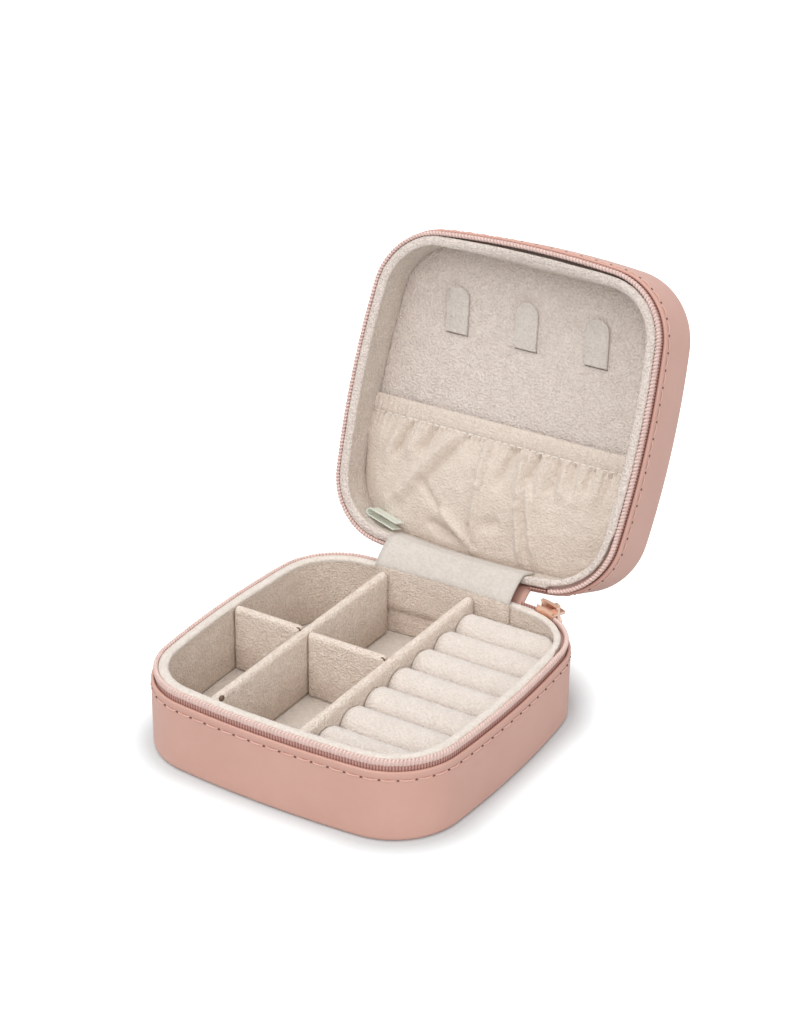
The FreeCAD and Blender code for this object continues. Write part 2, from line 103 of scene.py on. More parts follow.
# Leather: edges as (offset, height), levels as shares of the wall,
# and the groove along the stitches as (depth, height from the stitches)
edge_round = 1.6
TURNED_UNDER = [(4.6, 0.5), (4.3, 0.12), (3.8, 0.04), (2.6, 0.0)]
UNDERSIDE_BACK = [(2.2, 1.3), (4.6, 1.2)]
WALL_LEVELS = (0.3, 0.6)
wall_back_rise = 0.6
STITCH_GROOVE = [(0.02, -1.2), (0.07, -0.6), (0.2, -0.15), (0.2, 0.15), (0.07, 0.6), (0.0, 1.2)]
board_inset = 4.7
board_thickness = 1.3
board_bevel = 0.4
board_edge = 0.3
board_step = 3.2
BOARD_RINGS = (board_bevel, 3.0, 8.0, 16.0, 26.0, 36.0)

# Stitches
stitch_drop = 2.5
stitch_pitch = 5.0
stitch_length = 3.9
thread_radius = 0.17
thread_sides = 6
thread_steps = 6
thread_sink = 0.26
thread_arch = 0.34
# Needle holes: dark spots of painted shade stand for the shade inside them
hole_radius = 0.25
hole_sides = 8
hole_depth = 0.1
HOLE_SPOTS = (-0.28, -0.1, 0.1, 0.28)

# Zip, with angles in degrees on the back right corner
tape_tuck = 8.0
tape_rib = 0.9
tape_angle = 83.0
tape_split = 0.03
tape_end_drop = 0.15
coil_pitch = 1.1
coil_wire = 0.39
coil_rise = 0.76
coil_reach = 0.35
coil_middle = 1.25
coil_slider_rise = 0.53
coil_turn_points = 12
coil_wire_sides = 6
CORD_SECTION = [(-0.4, -0.75), (-0.54, 0.0), (-0.4, 0.6), (0.4, 0.6), (0.54, 0.0), (0.4, -0.75)]
zip_start_gap = 0.5
zip_spine_gap = 0.3
lid_zip_end = 82.0
zip_edge_low = 3.4
zip_edge_high = 2.9
zip_edge_tuck = 0.2
zip_edge_angles = (-5.0, 95.0)
slider_angle = 72.0
slider_length = 7.0
slider_first_angle = 5.0
slider_margin_angle = 13.0
slider_ease = 4.0
metal_bevel = 0.15

# Lining, dividers and rolls. The painted shade of a slit, a dark spot, has its place from the divider's
# right front upper corner, and its half size.
lining_tuck = 0.6
lining_wave = 0.14
lining_foot = 0.7
LINING_FOOT_ROUND = [(0.0, 1.2), (0.25, 0.4)]
rim_drop = 0.3
rim_neck = 1.6
rim_wave = 0.12
RIM_STEPS = (0.7, 1.6, 3.0)
rim_bulge = 0.85
rim_overhang = 0.55
rim_run = 2.0
wall_swell = 2.2
lid_sag = 0.9
sag_middle = 6.0
sag_half = 38.0
sag_drop = 0.4
divider_foot = 1.1
divider_foot_rise = 1.0
divider_parts = 16
divider_wave = 0.1
divider_end = 0.9
divider_end_pinch = 0.45
divider_end_drop = 0.9
divider_end_reach = 3.0
DIVIDER_END_PLACES = (0.0, 0.15, 0.5, 1.2)
CROSS_SLIT_SHADE = ((-0.9, 1.0, -0.9), (1.1, 0.45, 0.8))
LONG_SLIT_SHADE = ((-0.4, 3.0, -1.0), (0.7, 1.4, 0.9))
roll_count = 7
roll_sides = 32
roll_rings = 22
roll_end = 1.4
roll_end_size = 0.85
roll_puff = 0.012

# Lid fittings, with places on the closed lid
HOOK_PLACES = (-23.8, 0.0, 23.8)
HOOK_EDGE = [(0.4, 0.0), (0.1, 0.1), (0.0, 0.35)]
hook_half = 3.8
hook_root = -18.6
hook_tip = -32.6
hook_gap = 0.2
hook_thickness = 0.9
hook_lean = 2.2
pocket_mouth = 4.6
pocket_wall_gap = -0.2
pocket_offset = lining_inner + pocket_wall_gap
pocket_thickness = 0.4
pocket_columns = 220
pocket_rows = 100
hem_height = 5.4
hem_stand = 1.7
hem_roll = 0.7
hem_wave = 0.3
hem_thread = 2.6
hem_thread_drop = 0.1
hem_thread_lift = 0.2
hem_thread_radius = 0.16
hem_thread_steps = 4
hem_stitch_pitch = 2.4
hem_stitch_start = 0.2
hem_stitch_share = 0.6
rib_height = 0.22
rib_pitch = 1.7
rib_wander = 2.0
gather_gain = 3.2
gather_wave = 0.3
gather_run = 2.5
belly_stand = 2.1
belly_height = 2.7
belly_power = 0.8
least_depth = 0.6
wide_rumple = 0.5
fine_rumple = 0.2
side_flatness = 0.7
edge_flatness = 0.3
pinch_run = 1.5
side_run = 5.0
foot_run = 2.0
fold_gain = 1.15
fold_fade_start = 0.8
fold_fade_run = 0.35
POCKET_FOLDS = [
    # From (x, y) to (x, y), half width, and height: ridges above 0, valleys below
    ((-34.0, 11), (-37.0, 24), 1.5, 1.2), ((-30.9, 10), (-33.8, 22), 1.1, -1.6),
    ((-26.6, 10), (-29.5, 21), 1.5, 1.3), ((-22.8, 10), (-25.4, 19), 1.2, -1.8),
    ((-14.8, 10), (-30.0, 33), 1.8, 1.6), ((-30.0, 33), (-35.0, 37), 2.0, 1.0),
    ((-11.0, 10), (-22.0, 27), 1.1, -1.1), ((-23.2, 27), (-14.0, 36), 1.2, -1.1),
    ((-14.5, 35), (-4.0, 42), 1.5, 1.4), ((-17.0, 39), (-8.5, 42), 1.6, -1.5),
    ((-4.0, 10), (-4.0, 24), 1.2, 1.6), ((-4.0, 24), (-2.3, 44), 1.1, 1.7),
    ((-4.6, 37), (-1.7, 43), 1.0, -1.0), ((5.2, 10), (1.8, 23), 1.6, -1.9),
    ((1.3, 35), (5.0, 33), 2.2, -1.2), ((8.3, 10), (10.4, 27), 1.2, 1.8),
    ((10.4, 27), (14.3, 43), 1.1, 1.8), ((13.5, 10), (11.2, 21), 1.2, -1.9),
    ((15.8, 10), (16.5, 26), 1.5, 1.1), ((11.8, 19), (18.9, 42), 1.1, 1.4),
    ((20.2, 10), (19.7, 20), 1.3, -1.3), ((22.5, 10), (23.0, 22), 1.3, 0.8),
    ((24.6, 10), (27.1, 20), 1.3, -1.1), ((28.0, 10), (28.5, 22), 1.3, 0.7),
    ((31.0, 10), (30.7, 18), 1.2, -1.0), ((34.0, 10), (34.5, 20), 1.2, 0.7),
    ((37.5, 10), (37.0, 18), 1.0, -0.7),
]

# Stage
surroundings = 0.44
floor_half = 6000.0
# Painted light on the floor: a glow for the camera that grows with distance from the box's outline
floor_glow = 0.76
glow_start = corner_radius + 1.5
glow_end = corner_radius + 17
camera_azimuth = math.radians(31.66)
camera_elevation = math.radians(26.81)
camera_roll = math.radians(0.70)
camera_distance = 663.98
camera_aim = Vector((0, 0, 20))
camera_shift_right = 9.79
camera_shift_up = 41.65
camera_lens = 82.1


# Places


def corner_middle():
    """Distance of the corner arcs' centres from the middle, on both axes."""
    side = side_bow_radius - half_width
    reach = side_bow_radius - corner_radius
    return -side / 2 + math.sqrt(reach ** 2 - side ** 2 / 2) / math.sqrt(2)


def outline_arcs():
    """The eight arcs (x, y, radius, start, end), anticlockwise from the back side's right end."""
    c = corner_middle()
    far = side_bow_radius - half_width
    half = math.asin(c / (side_bow_radius - corner_radius))
    arcs = []
    for quarter in range(4):
        turn = quarter * math.pi / 2
        middle = math.pi / 2 + turn
        side = (far * math.sin(turn), -far * math.cos(turn))
        arcs.append((*side, side_bow_radius, middle - half, middle + half))
        corner = middle + math.pi / 4
        sign_x = round(math.cos(corner) * math.sqrt(2))
        sign_y = round(math.sin(corner) * math.sqrt(2))
        arcs.append((sign_x * c, sign_y * c, corner_radius, middle + half, middle + math.pi / 2 - half))
    return arcs


ARCS = outline_arcs()
LENGTHS = [radius * (end - start) for x, y, radius, start, end in ARCS]
ROUND = sum(LENGTHS)


def outline(distance, offset=0.0):
    """Place at a distance along the outline, drawn in by offset."""
    left = distance % ROUND
    for (x, y, radius, start, end), length in zip(ARCS, LENGTHS):
        if left <= length:
            break
        left -= length
    angle = start + left / radius
    return x + (radius - offset) * math.cos(angle), y + (radius - offset) * math.sin(angle)


def distance_at_back(x):
    """Distance along the outline of a place on the back side."""
    return LENGTHS[0] / 2 - side_bow_radius * math.asin(x / side_bow_radius)


def distance_at_corner(degrees):
    """Distance along the outline of a place on the back right corner, by its angle from +X."""
    return ROUND - LENGTHS[-1] + corner_radius * (math.radians(degrees) + math.tau - ARCS[-1][3])


def back_y(x, offset):
    """Depth of the back side at x, drawn in by offset."""
    return half_width - side_bow_radius + math.sqrt((side_bow_radius - offset) ** 2 - x ** 2)


def reach_at(y, offset):
    """How far the square outline reaches along one axis at a place y on the other, drawn in by offset."""
    c = corner_middle()
    if abs(y) > c:
        rest = (corner_radius - offset) ** 2 - (abs(y) - c) ** 2
        return c + math.sqrt(max(rest, 0.0))
    return back_y(y, offset)


def slider_way(s):
    """1 where the slider runs along the zip, falling to 0 beside that stretch."""
    first = distance_at_corner(slider_first_angle)
    last = distance_at_corner(slider_angle + slider_margin_angle)
    return max(0.0, min(1.0, (s - first) / slider_ease + 1, (last - s) / slider_ease + 1))


def strip_way(s):
    """1 behind the hinge strip, falling to 0 beside it."""
    along = s if s < ROUND / 2 else s - ROUND
    inside = hinge_half_width + strip_ease - abs(along - LENGTHS[0] / 2)
    return max(0.0, min(1.0, inside / strip_ease))


def at_base(p):
    """Places of the base stay as they are."""
    return p


def swung(p):
    """Place of a point of the closed lid when the lid stands open."""
    y, z = p[1] - hinge_y, p[2] - hinge_z
    return (p[0], hinge_y + y * math.cos(open_angle) + z * math.sin(open_angle),
            hinge_z - y * math.sin(open_angle) + z * math.cos(open_angle))


def at_lid(p):
    """Place of a lid point whose height is measured down from the lid's top."""
    return swung((p[0], p[1], closed_height - p[2]))


def wave(x, y, z, scale, seed):
    """Smooth noise of about -1 to 1 over lengths of about scale."""
    return noise.noise(Vector((x / scale + seed, y / scale - seed, z / scale + 2 * seed)))


# Meshes


def piece(name, points, faces, place, material, body, slot_name, uvs=None, sharp=50.0):
    """Mesh object from millimetre points, riding on a body (or on none yet, where body is None)."""
    mesh = bpy.data.meshes.new(name)
    mesh.from_pydata([[c * MM for c in place(p)] for p in points], [], faces)
    if uvs:
        layer = mesh.uv_layers.new(name="Along")
        layer.data.foreach_set("uv", [c for face in uvs for corner in face for c in corner])
    bm = bmesh.new()
    bm.from_mesh(mesh)
    bmesh.ops.recalc_face_normals(bm, faces=bm.faces)
    bm.to_mesh(mesh)
    bm.free()
    mesh.polygons.foreach_set("use_smooth", [True] * len(mesh.polygons))
    mesh.set_sharp_from_angle(angle=math.radians(sharp))
    mesh.materials.append(material)
    obj = bpy.data.objects.new(name, mesh)
    bpy.context.collection.objects.link(obj)
    if body:
        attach(obj, body)
    return obj


def thicken(obj, thickness):
    """Thickness for a sheet, to both sides of it."""
    shell = obj.modifiers.new("thickness", "SOLIDIFY")
    shell.thickness = thickness * MM
    shell.offset = 0.0


def stations(start=0.0, end=None, step=station_step):
    """Evenly spaced distances; round the whole outline the last stops one step short."""
    whole = end is None
    length = ROUND if whole else end - start
    count = max(2, round(length / step))
    return [start + length * i / count for i in range(count if whole else count + 1)]


def sweep(profile, distances, closed, shift=None):
    """Points, faces and along-and-across coordinates of a profile of (offset, height) along the outline."""
    n = len(profile)
    points, faces, uvs = [], [], []
    across = [0.0]
    for a, b in zip(profile, profile[1:] + profile[:1]):
        across.append(across[-1] + math.dist(a, b))
    for s in distances:
        for o, z in profile:
            if shift:
                o, z = shift(s, o, z)
            points.append((*outline(s, o), z))
    step = distances[1] - distances[0]
    columns = len(distances) if closed else len(distances) - 1
    for i in range(columns):
        j = (i + 1) % len(distances)
        s = distances[i]
        for k in range(n):
            m = (k + 1) % n
            faces.append((i * n + k, j * n + k, j * n + m, i * n + m))
            low, high = across[k], across[k + 1]
            uvs.append(((s, low), (s + step, low), (s + step, high), (s, high)))
    if not closed:
        for i in (0, len(distances) - 1):
            faces.append(tuple(range(i * n, i * n + n)))
            uvs.append(tuple((distances[i], across[k]) for k in range(n)))
    return points, faces, uvs


def ring_faces(rings, count):
    """Faces between rings of count points that follow each other, and the two caps."""
    faces = []
    for r in range(rings - 1):
        near, far = r * count, (r + 1) * count
        for k in range(count):
            m = (k + 1) % count
            faces.append((near + k, near + m, far + m, far + k))
    faces.append(tuple(range(count)))
    faces.append(tuple(range((rings - 1) * count, rings * count)))
    return faces


def grid_faces(lines, count):
    """Faces between lines of count points that follow each other, line by line."""
    faces = []
    for i in range(lines - 1):
        near, far = i * count, (i + 1) * count
        for k in range(count - 1):
            faces.append((near + k, near + k + 1, far + k + 1, far + k))
    return faces


def arc_points(middle, radius, start, end, count):
    """Points on an arc in the plane of the profile, angles in degrees."""
    found = []
    for i in range(count + 1):
        a = math.radians(start + (end - start) * i / count)
        found.append((middle[0] + radius * math.cos(a), middle[1] + radius * math.sin(a)))
    return found


def tube(path, radius, sides):
    """Points and faces of a tube along a list of Vectors, closed at both ends."""
    points = []
    for i, p in enumerate(path):
        along = (path[min(i + 1, len(path) - 1)] - path[max(i - 1, 0)]).normalized()
        first = along.orthogonal() if i == 0 else first - along * first.dot(along)
        first = first.normalized()
        second = along.cross(first)
        for k in range(sides):
            a = math.tau * k / sides
            points.append(tuple(p + radius * (first * math.cos(a) + second * math.sin(a))))
    return points, ring_faces(len(path), sides)


def joined(parts):
    """Points and faces of several small shapes as one."""
    points, faces = [], []
    for more_points, more_faces in parts:
        start = len(points)
        points += more_points
        faces += [tuple(start + i for i in face) for face in more_faces]
    return points, faces


def millimetre_box(node):
    """Lowest and highest corner of a CAD node in millimetres."""
    low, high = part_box(node)
    return [c / MM for c in low], [c / MM for c in high]


def dress(node, material, bevel=0.0):
    """Material, and a fine rounded edge, on a CAD node that is shown."""
    obj = frame["nodes"][node]
    obj.data.materials.clear()
    obj.data.materials.append(material)
    if bevel:
        edge = obj.modifiers.new("edge", "BEVEL")
        edge.width = bevel * MM
        edge.segments = 2
        edge.limit_method = "ANGLE"


# Materials


def linear(r, g, b):
    """Linear colour from 0-255 screen values above 10."""
    return tuple(((c / 255 + 0.055) / 1.055) ** 2.4 for c in (r, g, b)) + (1.0,)


class Nodes:
    """Small helper that adds and links shader nodes of one material."""

    def __init__(self, name):
        self.material = bpy.data.materials.new(name)
        self.material.use_nodes = True
        self.tree = self.material.node_tree
        self.shader = self.tree.nodes["Principled BSDF"]

    def add(self, kind, inputs=None, **settings):
        """Node of a kind, with its settings and inputs (a value, or a socket to link from)."""
        node = self.tree.nodes.new(kind)
        for key, value in settings.items():
            setattr(node, key, value)
        self.feed(node, inputs or {})
        return node

    def feed(self, node, inputs):
        """Set or link inputs of a node by name or number."""
        for key, value in inputs.items():
            if isinstance(value, bpy.types.NodeSocket):
                self.tree.links.new(value, node.inputs[key])
            else:
                node.inputs[key].default_value = value

    def millimetres(self):
        """Object coordinates in millimetres."""
        coordinates = self.add("ShaderNodeTexCoord").outputs["Object"]
        scale = [1 / MM] * 3
        return self.add("ShaderNodeMapping", {"Vector": coordinates, "Scale": scale}).outputs["Vector"]

    def maths(self, operation, first, second=None):
        """Value of a sum on one or two values."""
        inputs = {0: first} if second is None else {0: first, 1: second}
        return self.add("ShaderNodeMath", inputs, operation=operation).outputs["Value"]

    def vector_maths(self, operation, first, second=None, output="Vector"):
        """Vector, or its length, from a sum on one or two vectors."""
        inputs = {0: first} if second is None else {0: first, 1: second}
        return self.add("ShaderNodeVectorMath", inputs, operation=operation).outputs[output]

    def noise(self, vector, size, detail=3.0, roughness=0.6):
        """Noise with features of about size millimetres."""
        inputs = {"Vector": vector, "Scale": 1 / size, "Detail": detail, "Roughness": roughness}
        return self.add("ShaderNodeTexNoise", inputs).outputs["Fac"]

    def ramp(self, factor, dark, light, spread=(0.3, 0.7)):
        """Colour between dark and light, over a spread of the factor."""
        node = self.add("ShaderNodeValToRGB", {"Fac": factor})
        for element, place, colour in zip(node.color_ramp.elements, spread, (dark, light)):
            element.position = place
            element.color = colour
        return node.outputs["Color"]

    def mix(self, factor, a, b):
        """Two colours mixed."""
        node = self.add("ShaderNodeMix", data_type="RGBA")
        self.feed(node, {0: factor, 6: a, 7: b})
        return node.outputs[2]

    def bump(self, height, depth, strength, after=None):
        """Normal from a height, depth in millimetres."""
        inputs = {"Height": height, "Distance": depth * MM, "Strength": strength}
        if after:
            inputs["Normal"] = after
        return self.add("ShaderNodeBump", inputs).outputs["Normal"]


def leather_material():
    """Smooth artificial leather with a fine pebble grain."""
    n = Nodes("pink_leather")
    place = n.millimetres()
    colour = n.ramp(n.noise(place, size=14.0), linear(202, 157, 143), linear(206, 162, 148))
    cells = n.add("ShaderNodeTexVoronoi", {"Vector": place, "Scale": 1.9}, feature="SMOOTH_F1")
    normal = n.bump(cells.outputs["Distance"], depth=0.06, strength=0.35)
    normal = n.bump(n.noise(place, size=5.0, detail=2.0), depth=0.12, strength=0.3, after=normal)
    n.feed(n.shader, {"Base Color": colour, "Roughness": 0.46, "Normal": normal, "Specular IOR Level": 0.4})
    return n.material


def suede_material(name, dark, light, relief, sheen=0.25, grain=0.9):
    """Soft napped cloth: crinkled grain, mottled tones and fine fibres."""
    n = Nodes(name)
    place = n.millimetres()
    nap = n.noise(place, size=4.0)
    crinkle = n.noise(place, size=grain, detail=2.0, roughness=0.5)
    fibre = n.noise(place, size=0.4, detail=2.0, roughness=0.7)
    colour = n.ramp(n.mix(0.3, crinkle, nap), dark, light, spread=(0.36, 0.64))
    normal = n.bump(crinkle, depth=relief, strength=0.9)
    normal = n.bump(fibre, depth=0.15, strength=0.6, after=normal)
    n.feed(n.shader, {"Base Color": colour, "Roughness": 0.95, "Normal": normal, "Specular IOR Level": 0.15,
                      "Sheen Weight": sheen, "Sheen Roughness": 0.6})
    return n.material


def tape_material():
    """Woven zip tape: fine ribs across it, from the along-and-across coordinates."""
    n = Nodes("zip_tape")
    along = n.add("ShaderNodeUVMap", uv_map="Along").outputs["UV"]
    parts = n.add("ShaderNodeSeparateXYZ", {"Vector": along})
    weave = n.maths("SINE", n.maths("MULTIPLY", parts.outputs["X"], math.tau / tape_rib))
    height = n.add("ShaderNodeMapRange", {"Value": weave, "From Min": -1.0}).outputs["Result"]
    colour = n.ramp(height, linear(148, 103, 94), linear(200, 155, 144), spread=(0.1, 0.9))
    normal = n.bump(height, depth=0.12, strength=0.7)
    n.feed(n.shader, {"Base Color": colour, "Roughness": 0.85, "Normal": normal})
    return n.material


def coil_material(name, dark, light):
    """Pink nylon."""
    n = Nodes(name)
    colour = n.ramp(n.noise(n.millimetres(), size=3.0), dark, light)
    n.feed(n.shader, {"Base Color": colour, "Roughness": 0.34, "Specular IOR Level": 0.5})
    return n.material


def metal_material():
    """Rose gold plating with faint wear in its polish."""
    n = Nodes("rose_metal")
    wear = n.noise(n.millimetres(), size=1.6)
    colour = n.ramp(wear, linear(238, 200, 180), linear(248, 218, 200))
    rough = n.add("ShaderNodeMapRange", {"Value": wear, "To Min": 0.16, "To Max": 0.3}).outputs["Result"]
    n.feed(n.shader, {"Base Color": colour, "Metallic": 1.0, "Roughness": rough})
    return n.material


def film_material():
    """Thin clear film with a pale green tint."""
    n = Nodes("clear_film")
    colour = n.ramp(n.noise(n.millimetres(), size=4.0), linear(240, 248, 234), linear(248, 253, 245))
    n.feed(n.shader, {"Base Color": colour, "Roughness": 0.12, "Alpha": 0.68, "Specular IOR Level": 0.8})
    return n.material


def plain_material(name, dark, light, size, roughness, depth=0.05):
    """Board, foam, thread: two tones mixed by noise of one size."""
    n = Nodes(name)
    grain = n.noise(n.millimetres(), size)
    normal = n.bump(grain, depth, strength=0.5)
    n.feed(n.shader, {"Base Color": n.ramp(grain, dark, light), "Roughness": roughness, "Normal": normal})
    return n.material


LEATHER = leather_material()
SUEDE = suede_material("beige_suede", linear(225, 206, 190), linear(248, 234, 221), relief=1.2, grain=0.62)
LID_SUEDE = suede_material("lid_wall_suede", linear(204, 189, 175), linear(228, 215, 204), relief=1.0,
                           grain=0.7)
PANEL = suede_material("lid_panel_suede", linear(216, 201, 191), linear(240, 227, 218), relief=1.2,
                       grain=0.65)
SMOOTH = suede_material("smooth_suede", linear(215, 204, 193), linear(229, 219, 210), relief=0.5)
HOOK = suede_material("hook_suede", linear(210, 199, 190), linear(227, 217, 209), relief=0.9, grain=0.65)
STRIP = suede_material("strip_suede", linear(199, 190, 181), linear(210, 202, 194), relief=0.3)
VELVET = suede_material("cream_velvet", linear(211, 199, 189), linear(226, 215, 206), relief=0.6, sheen=0.5,
                        grain=0.7)
POCKET = suede_material("pocket_cloth", linear(219, 204, 190), linear(232, 218, 206), relief=0.8, grain=0.65)
TAPE = tape_material()
COIL = coil_material("zip_coil", linear(216, 187, 178), linear(226, 199, 191))
CORE = coil_material("zip_cord", linear(212, 176, 167), linear(222, 187, 179))
METAL = metal_material()
FILM = film_material()
BOARD = plain_material("grey_board", linear(120, 104, 96), linear(140, 122, 112), size=2.0, roughness=0.8)
FOAM = plain_material("foam", linear(214, 204, 194), linear(228, 219, 210), size=0.8, roughness=0.95,
                      depth=0.2)
THREAD = plain_material("pink_thread", linear(214, 170, 157), linear(230, 189, 176), size=0.5, roughness=0.7)
# Painted shade: dark brown for the shade inside the needle holes
HOLE_SHADE = plain_material("needle_hole_shade", linear(106, 68, 59), linear(124, 82, 72), size=0.4, roughness=0.9)
# Painted shade: dark brown for the shade inside the slits at the dividers' ends
SLIT_SHADE = plain_material("painted_slit_shade", linear(92, 72, 62), linear(120, 98, 86), size=0.6, roughness=0.9)
WHITE_THREAD = plain_material("white_thread", linear(240, 232, 224), linear(250, 245, 240), size=0.5,
                              roughness=0.7)


# Shell


def wall_profile(top):
    """Leather wall: turned under at the bottom, grooved along the stitches and folded in at the top."""
    stitch = top - stitch_drop
    fold = leather / 2
    profile = list(TURNED_UNDER)
    profile += arc_points((edge_round, edge_round), edge_round, 270, 180, 8)
    profile += [(0.0, top * share) for share in WALL_LEVELS]
    profile += [(depth, stitch + rise) for depth, rise in STITCH_GROOVE]
    profile += arc_points((fold, top - fold), fold, 180, 0, 6)
    profile.append((leather, edge_round + wall_back_rise))
    return profile + UNDERSIDE_BACK


def leather_wall(name, top, place, body, node):
    """Leather band of the base or the lid."""
    points, faces, uvs = sweep(wall_profile(top), stations(), True)
    obj = piece(name, points, faces, place, LEATHER, body, "leather", uvs, 60.0)
    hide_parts(node)


def leather_board(name, place, body, node):
    """Flat leather-covered board inside the wall's turned-under edge."""
    rings = [(board_inset + board_bevel, board_thickness), (board_inset, board_thickness - board_edge),
             (board_inset, board_edge)]
    rings += [(board_inset + d, 0.0) for d in BOARD_RINGS]
    around = stations(step=board_step)
    inmost = corner_radius - 1.0
    points = []
    for o, z in rings:
        shrink = min(1.0, (half_width - o) / (half_width - inmost))
        for s in around:
            x, y = outline(s, min(o, inmost))
            points.append((x * shrink, y * shrink, z))
    faces = ring_faces(len(rings), len(around))
    obj = piece(name, points, faces, place, LEATHER, body, "leather", sharp=40.0)
    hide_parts(node)


def stitch_row(name, height, place, body):
    """Thread between needle holes along the wall, and dark spots of painted shade in the needle holes."""
    count = round(ROUND / stitch_pitch)
    threads, holes = [], []
    for i in range(count):
        middle = ROUND * i / count
        path = []
        for k in range(thread_steps + 1):
            t = k / thread_steps
            sink = thread_sink - thread_arch * math.sin(math.pi * t) ** 0.6
            path.append(Vector((*outline(middle + stitch_length * (t - 0.5), sink), height)))
        threads.append(tube(path, thread_radius, thread_sides))
        # Painted shade: a short dark tube sits in each needle hole in place of its shade
        hole = middle + ROUND / count / 2
        path = [Vector((*outline(hole + d, hole_depth), height)) for d in HOLE_SPOTS]
        holes.append(tube(path, hole_radius, hole_sides))
    piece(name + "_thread", *joined(threads), place, THREAD, body, "leather")
    piece(name + "_hole_shade", *joined(holes), place, HOLE_SHADE, body, "leather")


def build_shell():
    """Leather, panels and stitches of both halves."""
    leather_wall("base_leather", base_wall, at_base, "base", "base_leather_band")
    leather_wall("lid_leather", lid_wall, at_lid, "lid", "lid_leather_band")
    leather_board("base_underside", at_base, "base", "base_bottom_panel")
    leather_board("lid_top", at_lid, "lid", "lid_top_panel")
    stitch_row("base_stitches", base_wall - stitch_drop, at_base, "base")
    stitch_row("lid_stitches", lid_wall - stitch_drop, at_lid, "lid")


# Zip


def zip_tape(name, start, end, top, below_seam, place, body, node=None):
    """Tape that stands up from behind the leather's edge to a little below the seam."""
    low, high = top - tape_tuck, top + zip_reveal - below_seam
    middle = (tape_outer + tape_inner) / 2
    radius = (tape_inner - tape_outer) / 2
    profile = [(tape_inner, low), (tape_outer, low), (tape_outer, top)]
    profile += arc_points((middle, high - radius), radius, 180, 0, 4) + [(tape_inner, top)]
    points, faces, uvs = sweep(profile, stations(start, end), False)
    obj = piece(name, points, faces, place, TAPE, body, "zip_tape", uvs)
    if node:
        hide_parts(node)


def coil_step(t):
    """Share of a turn's advance made by t: none along the two legs, half over each end."""
    whole = math.floor(t * 2 + 0.5)
    part = t * 2 + 0.5 - whole
    return (whole + part ** 3 / (part ** 3 + (1 - part) ** 3) - 0.5) / 2


def zip_coil(name, start, end, seam, place, body, node):
    """Wound coil along the tape's edge, its legs square to the edge, round a filler cord."""
    turns = int((end - start) / coil_pitch)
    middle = seam - coil_middle
    path = []
    for i in range(turns * coil_turn_points + 1):
        t = i / coil_turn_points
        a = math.tau * t
        reach = coil_reach * math.copysign(abs(math.sin(a)) ** 0.5, math.sin(a))
        along = start + coil_step(t) * coil_pitch
        rise = coil_rise + (coil_slider_rise - coil_rise) * slider_way(along)
        path.append(Vector((*outline(along, coil_offset + reach), middle + rise * math.cos(a))))
    points, faces = tube(path, coil_wire, coil_wire_sides)
    obj = piece(name, points, faces, place, COIL, body, "zip_coil", sharp=80.0)
    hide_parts(node)
    cord = [(coil_offset + o, middle + z) for o, z in CORD_SECTION]
    points, faces, uvs = sweep(cord, stations(start, end), False)
    piece(name + "_core", points, faces, place, CORE, body, "zip_coil", uvs)


def zip_edge(name, seam, place, body):
    """Edge that closes the gap between tape and lining along the slider's run."""
    low, high = seam - zip_edge_low, seam - zip_edge_high
    inner = lining_outer + zip_edge_tuck
    profile = [(tape_inner, low), (tape_inner, high), (inner, high), (inner, low)]
    start, end = (distance_at_corner(angle) for angle in zip_edge_angles)
    points, faces, uvs = sweep(profile, stations(start, end), False)
    piece(name, points, faces, place, CORE, body, "zip_tape", uvs)


def build_zip():
    """Both halves of the zip, and the slider with its pull."""
    start = distance_at_back(-hinge_half_width - zip_start_gap)
    base_end = distance_at_corner(slider_angle + math.degrees(slider_length / 2 / corner_radius))
    lid_end = distance_at_corner(lid_zip_end)
    tape_end = distance_at_corner(tape_angle)
    spine_side = ROUND + distance_at_back(hinge_half_width + zip_spine_gap)
    zip_tape("base_tape", start, tape_end, base_wall, coil_middle, at_base, "base", "base_zipper_tape")
    zip_tape("lid_tape", start, tape_end, lid_wall, coil_middle, at_lid, "lid", "lid_zipper_tape")
    zip_tape("base_tape_end", tape_end + tape_split, spine_side, base_wall, tape_end_drop, at_base, "base")
    zip_tape("lid_tape_end", tape_end + tape_split, spine_side, lid_wall, tape_end_drop, at_lid, "lid")
    zip_coil("base_coil", start, base_end, base_seam, at_base, "base", "base_zipper_coil")
    zip_coil("lid_coil", start, lid_end, lid_seam, at_lid, "lid", "lid_zipper_coil")
    zip_edge("base_zip_edge", base_seam, at_base, "base")
    zip_edge("lid_zip_edge", lid_seam, at_lid, "lid")
    dress("zipper_slider", METAL, metal_bevel)
    dress("zipper_pull", METAL, metal_bevel)


# Lining


